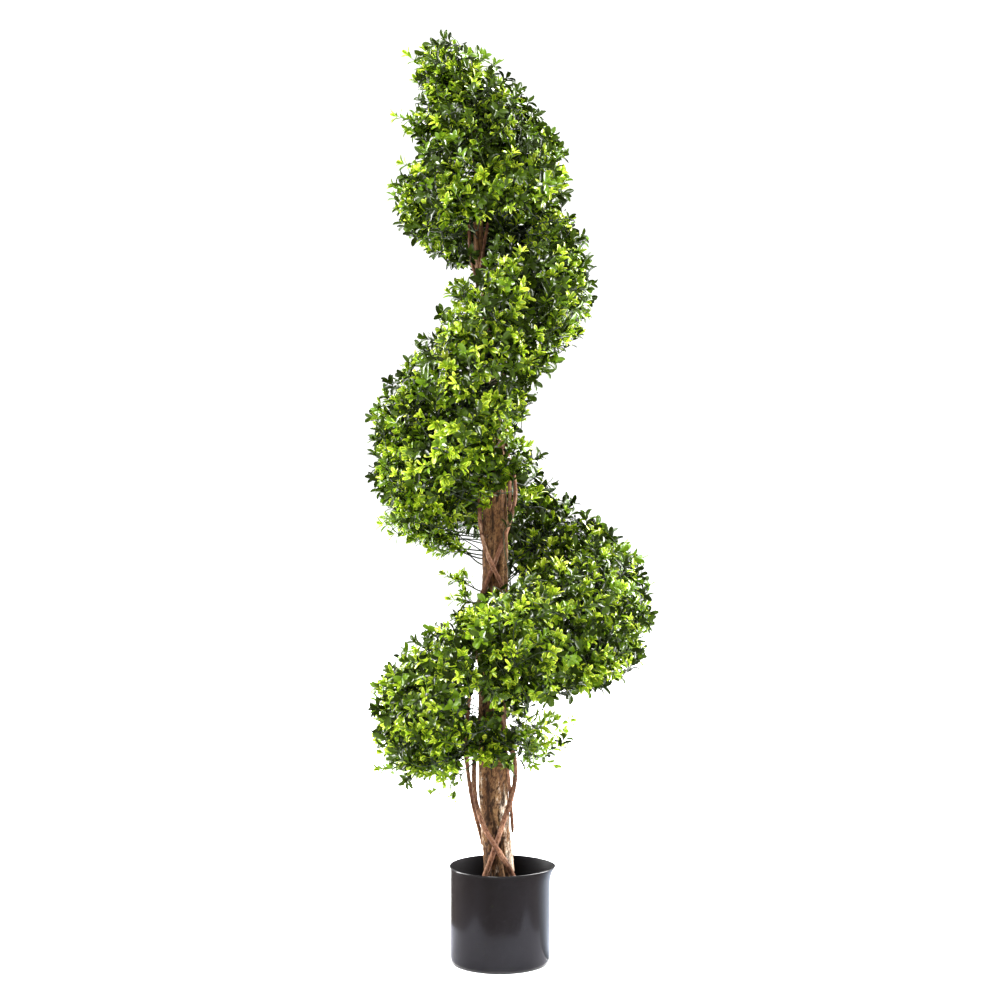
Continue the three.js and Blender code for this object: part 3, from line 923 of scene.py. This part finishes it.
def build_foliage():
    leaf_materials = []
    for name, (centre, rim, sheen) in TINTS.items():
        leaf_materials.append(plain_material("leaf_" + name, centre, 0.22, sheen))
        leaf_materials.append(plain_material("leaf_" + name + "_rim", rim, 0.25, sheen))
    wire = plain_material("wire_green", (0.014, 0.024, 0.006), 0.6, 0.2)
    sprig = plain_material("sprig_green", (0.06, 0.09, 0.015), 0.5)
    for seed, node in enumerate(MASSES):
        others = [n for n in MASSES if n != node and not n.endswith("collar")]
        growth = grow_mass(node, others, seed + 11)
        points = np.concatenate(growth.leaf_points)
        make_piece(node.replace("foliage", "leaves"), points.tolist(), growth.leaf_faces, [node],
                   leaf_materials, tints=growth.leaf_tints)
        make_piece(node.replace("foliage", "twigs"), growth.twig_points, growth.twig_faces, [node],
                   [wire, sprig], tints=growth.twig_tints)


# ------------------------------------------------------------------ studio
def build_studio():
    def lay(name, points, faces, colour):
        mesh = bpy.data.meshes.new(name)
        mesh.from_pydata(points, [], faces)
        flat = bpy.data.objects.new(name, mesh)
        bpy.context.scene.collection.objects.link(flat)
        mesh.materials.append(plain_material(name, colour, 0.9, 0.1))
        return flat

    square = [(-12, -12, 0), (12, -12, 0), (12, 12, 0), (-12, 12, 0)]
    floor = lay("floor", square, [(0, 1, 2, 3)], (0.95, 0.95, 0.95))
    shader = floor.data.materials[0].node_tree.nodes["Principled BSDF"]
    shader.inputs["Emission Color"].default_value = (1, 1, 1, 1)
    shader.inputs["Emission Strength"].default_value = 0.42

    # Rings on the floor that are seen only in reflections, for the pot: grey near by, dark further out on the
    # camera's side, and paler by steps round to the right.
    def ring(name, near, far, turns, height, colour):
        edge = []
        for turn in range(*turns):
            way = Vector((math.cos(math.radians(turn)), math.sin(math.radians(turn)), 0))
            edge += [way * near(turn) + UP * height, way * far + UP * height]
        flat = lay(name, edge, [(k, k + 2, k + 3, k + 1) for k in range(0, len(edge) - 2, 2)], colour)
        flat.visible_camera = False
        flat.visible_diffuse = False
        flat.visible_shadow = False

    def scalloped(turn):
        """Where the dark ring starts: further out in two bays."""
        bays = ((-142, 17, 0.10), (-33, 12, 0.15))
        return 0.29 + sum(deep * math.exp(-(((turn - at) / wide) ** 2)) for at, wide, deep in bays)

    ring("studio_near", lambda turn: 0.088, 0.9, (-232, 1, 4), 0.001, (0.27, 0.27, 0.31))
    ring("studio_end", scalloped, 2.5, (-232, 1, 4), 0.002, (0.045, 0.034, 0.030))
    steps = ((0, 6, 0.08), (6, 12, 0.13), (12, 18, 0.20), (18, 26, 0.27), (26, 54, 0.36))
    for number, (start, stop, pale) in enumerate(steps):
        blue_grey = (0.9 * pale, pale, 1.2 * pale)
        ring("studio_pale_%d" % number, lambda turn: 0.086, 1.6, (start, stop + 1, 2), 0.002, blue_grey)

    def area(name, place, target, size, power, colour=(1, 1, 1)):
        light = bpy.data.lights.new(name, "AREA")
        light.shape = "RECTANGLE"
        light.size, light.size_y = size
        light.energy = power
        light.color = colour
        lamp = bpy.data.objects.new(name, light)
        bpy.context.scene.collection.objects.link(lamp)
        lamp.location = place
        lamp.rotation_euler = (Vector(target) - Vector(place)).to_track_quat("-Z", "Y").to_euler()
        lamp.visible_camera = False

    area("key", (-0.9, -2.2, 3.6), (0, 0, 0.9), (1.2, 1.2), 250)
    area("side", (2.3, 0.5, 1.5), (0, 0, 0.8), (0.8, 2.8), 380)
    area("other_side", (-2.3, 0.7, 1.4), (0, 0, 0.8), (0.8, 2.8), 330)
    area("back", (0.5, 2.6, 3.0), (0, 0, 0.9), (2.2, 1.4), 360)

    world = bpy.data.worlds.new("studio")
    bpy.context.scene.world = world
    world.use_nodes = True
    tree = world.node_tree
    place = tree.nodes.new("ShaderNodeTexCoord")
    split = tree.nodes.new("ShaderNodeSeparateXYZ")
    level = tree.nodes.new("ShaderNodeMapRange")
    level.inputs["From Min"].default_value = -0.5
    level.inputs["From Max"].default_value = 0.3
    level.inputs["To Min"].default_value = 0.60
    level.inputs["To Max"].default_value = 1.25
    tree.nodes["Background"].inputs["Color"].default_value = (1, 1, 1, 1)
    tree.links.new(place.outputs["Generated"], split.inputs[0])
    tree.links.new(split.outputs["Y"], level.inputs["Value"])
    tree.links.new(level.outputs["Result"], tree.nodes["Background"].inputs["Strength"])

    camera = bpy.data.objects.new("camera", bpy.data.cameras.new("camera"))
    bpy.context.scene.collection.objects.link(camera)
    camera.data.lens = CAMERA_LENS
    camera.location = CAMERA_PLACE
    camera.rotation_euler = (CAMERA_TARGET - CAMERA_PLACE).to_track_quat("-Z", "Y").to_euler()
    bpy.context.scene.camera = camera
    bpy.context.scene.view_settings.view_transform = "Standard"


build_studio()
build_pot()
build_filling()
build_trunk()
shared_bark = liana_bark()
for number, liana in enumerate(LIANAS):
    build_liana(liana, shared_bark, number + 1)
build_foliage()
